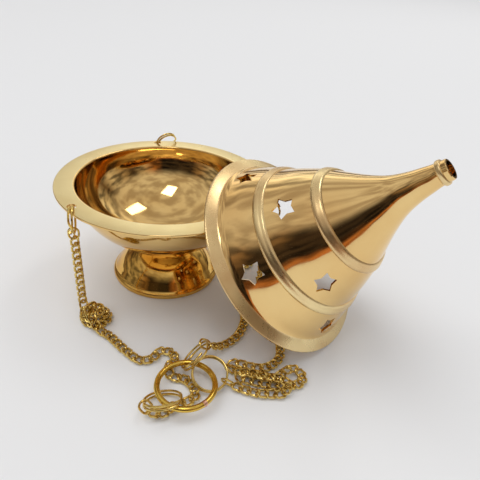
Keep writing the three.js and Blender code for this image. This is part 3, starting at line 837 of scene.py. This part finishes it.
# Lying chains. From its foot each brass curb chain runs over the table to its end link, piled in
# small loops where it was let down. Every link is threaded through its neighbours, almost flat.
CHAIN_ROUTES = {  # points from the bowl's axis, from each chain's foot to its end link
    "left": [
        (-30.9, -38.4, 3),
        (-29.6, -41.5, 1.1),
        (-28.2, -45.6, 1.1),
        (-24.9, -48.7, 1.1),
        (-20.9, -48.5, 1.1),
        (-18.4, -45.2, 1.1),
        (-19.6, -41, 1.1),
        (-23.1, -39, 1.5),
        (-27.4, -40.4, 3.3),
        (-28.6, -44.6, 3.3),
        (-25.6, -48.2, 3.3),
        (-21.4, -47.6, 3.3),
        (-19.6, -43.9, 3.4),
        (-22.3, -40.6, 3.9),
        (-26.4, -42.2, 5.4),
        (-26.2, -46.4, 5.4),
        (-22.4, -47.2, 5.4),
        (-21.2, -43.9, 5.6),
        (-24, -42.4, 6.6),
        (-25.6, -45.4, 7.4),
        (-23.6, -49.2, 5.6),
        (-19.6, -52, 1.6),
        (-14.6, -54.6, 1.1),
        (-10.9, -57.7, 1.1),
        (-5.4, -62.2, 1.1),
        (1.5, -66.4, 1.1),
        (6.1, -64.8, 1.1),
        (7.8, -61.2, 1.1),
        (12.2, -60.5, 1.1),
        (15.4, -64.2, 1.1),
        (13.6, -68.4, 1.1),
        (15.2, -73, 1.1),
        (20.6, -74, 1.1),
        (24.8, -77.6, 1.1),
        (25.6, -82, 1.1),
        (21.8, -85.2, 1.1),
        (18, -87.4, 1.1),
        (14.8, -90.4, 1.2),
    ],
    "back": [
        (-9.8, 50.9, 2.6),
        (-6, 51.4, 1.1),
        (2, 51.4, 1.1),
        (9, 52.5, 1.1),
        (13, 48.5, 1.1),
        (11.5, 43, 1.1),
        (16, 39.5, 1.1),
        (21.5, 42, 1.1),
        (26.5, 46, 1.1),
        (31, 41.5, 1.1),
        (33, 36.5, 1.1),
        (38, 30, 1.1),
        (36, 22, 1.1),
        (42, 16.5, 1.1),
        (44, 9, 1.1),
        (38.5, 3, 1.1),
        (35.6, -4, 1.1),
        (39, -11, 1.1),
        (44.6, -16, 1.1),
        (45, -23, 1.1),
        (42.6, -30, 1.1),
        (43, -37, 1.1),
        (41.8, -43.5, 1.1),
        (39.4, -48.9, 1.1),
        (36, -52.7, 1.1),
        (32.6, -56.3, 2.6),
    ],
    "right": [
        (49.2, -13.4, 2.6),
        (50.6, -18, 1.1),
        (54.2, -27, 1.1),
        (56.5, -36, 1.1),
        (58.3, -45, 1.1),
        (59.2, -52.4, 1.1),
        (58.7, -58, 1.1),
        (55.6, -62.4, 1.1),
        (51.2, -64.6, 1.1),
        (45.6, -64.2, 1.1),
        (40.6, -63.2, 1.1),
        (37.8, -65.2, 1.1),
        (40.6, -67.3, 1.1),
        (46, -67.7, 1.1),
        (51.6, -68.7, 1.1),
        (57, -69, 1.3),
        (60.4, -66.8, 2.6),
        (64.4, -64.2, 1.9),
        (67.8, -66.6, 1.1),
        (66.6, -70.6, 1.1),
        (62, -72.4, 1.1),
        (56.6, -73, 1.1),
        (50.8, -72.4, 1.1),
        (45.4, -71.4, 1.1),
        (41.6, -70.6, 1.9),
        (44, -69.6, 3.4),
        (49, -70.4, 3.4),
        (54, -71, 3.4),
        (58.6, -71.4, 3.4),
        (61.4, -73.6, 3),
        (59.2, -76.6, 1.2),
        (54.6, -77.2, 1.1),
        (49.4, -77.4, 1.1),
        (44.6, -76.4, 1.1),
    ],
}
ROUTE_STEPS = 24  # between two points
FIRST_LINK = 0.275  # mm along the route to the first link's middle
LAST_LINK = 0.5  # mm that the last link's middle stops short of the route's end
LIFT = 0.12  # mm that a link on the level lies above the route
REACH = 1.4  # mm to either side of a link that its direction is taken from
ROLL = 7  # degrees that a link may rock to either side
PATH_STEPS = 220


def chain_line(points):
    """A smooth line through points, which doesn't overshoot where they are close together."""
    points = [Vector(p) for p in points]
    ends = [2 * points[0] - points[1], *points, 2 * points[-1] - points[-2]]
    line = []
    for p0, p1, p2, p3 in zip(ends, ends[1:], ends[2:], ends[3:]):
        t0 = 0
        t1 = t0 + math.sqrt((p1 - p0).length)
        t2 = t1 + math.sqrt((p2 - p1).length)
        t3 = t2 + math.sqrt((p3 - p2).length)
        for k in range(ROUTE_STEPS):
            t = t1 + (t2 - t1) * k / ROUTE_STEPS
            a1 = p0.lerp(p1, (t - t0) / (t1 - t0))
            a2 = p1.lerp(p2, (t - t1) / (t2 - t1))
            a3 = p2.lerp(p3, (t - t2) / (t3 - t2))
            b1 = a1.lerp(a2, (t - t0) / (t2 - t0))
            b2 = a2.lerp(a3, (t - t1) / (t3 - t1))
            line.append(b1.lerp(b2, (t - t1) / (t2 - t1)))
    return [*line, points[-1]]


def along_line(line, lengths, where):
    """The point on the line at a length from its start."""
    for i in range(1, len(line)):
        if where <= lengths[i]:
            step = lengths[i] - lengths[i - 1]
            return line[i - 1].lerp(line[i], (where - lengths[i - 1]) / step)
    return line[-1].copy()


settle = random.Random(7)
for side, route in CHAIN_ROUTES.items():
    foot_point, last_side = chain_feet[side]
    line = chain_line([foot_point, *route, chain_ends[side]])
    lengths = [0]
    for p, q in zip(line, line[1:]):
        lengths.append(lengths[-1] + (q - p).length)
    whole = lengths[-1]
    count = round((whole - FIRST_LINK - LAST_LINK) / LINK_PITCH)
    points = []
    faces = []
    for k in range(count + 1):
        where = FIRST_LINK + (whole - FIRST_LINK - LAST_LINK) * k / count
        at = along_line(line, lengths, where)
        ahead = along_line(line, lengths, where + REACH)
        behind = along_line(line, lengths, max(where - REACH, 0))
        along = (ahead - behind).normalized()
        level = UP.cross(along)
        if last_side.dot(level) < 0 and k < 3:
            level = -level
        # On the level a link lies flat, and on a steep run it keeps the side of the one before.
        share = min(max((level.length - 0.25) / 0.5, 0), 1)
        wide = last_side
        if level.length > 0.05:
            wide = last_side.lerp(level.normalized(), max(share, 0.05))
        wide = (wide - along * wide.dot(along)).normalized()
        last_side = wide
        wide = Matrix.Rotation(math.radians(settle.uniform(-ROLL, ROLL)), 3, along) @ wide
        turn = Matrix((wide, along.cross(wide), along)).transposed()
        lying = at + UP * LIFT * share + AXIS
        start = len(points)
        points += [lying + turn @ p for p in curb_link[0]]
        faces += [tuple(start + n for n in face) for face in curb_link[1]]
    chain = brass_piece("chain_" + side + "_links", (points, faces), chain_brass, Matrix.Identity(4))
    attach(chain, "body")
    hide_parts("strand_" + side)
    for i in range(PATH_STEPS + 1):
        tuple(in_frame(along_line(line, lengths, whole * i / PATH_STEPS)))
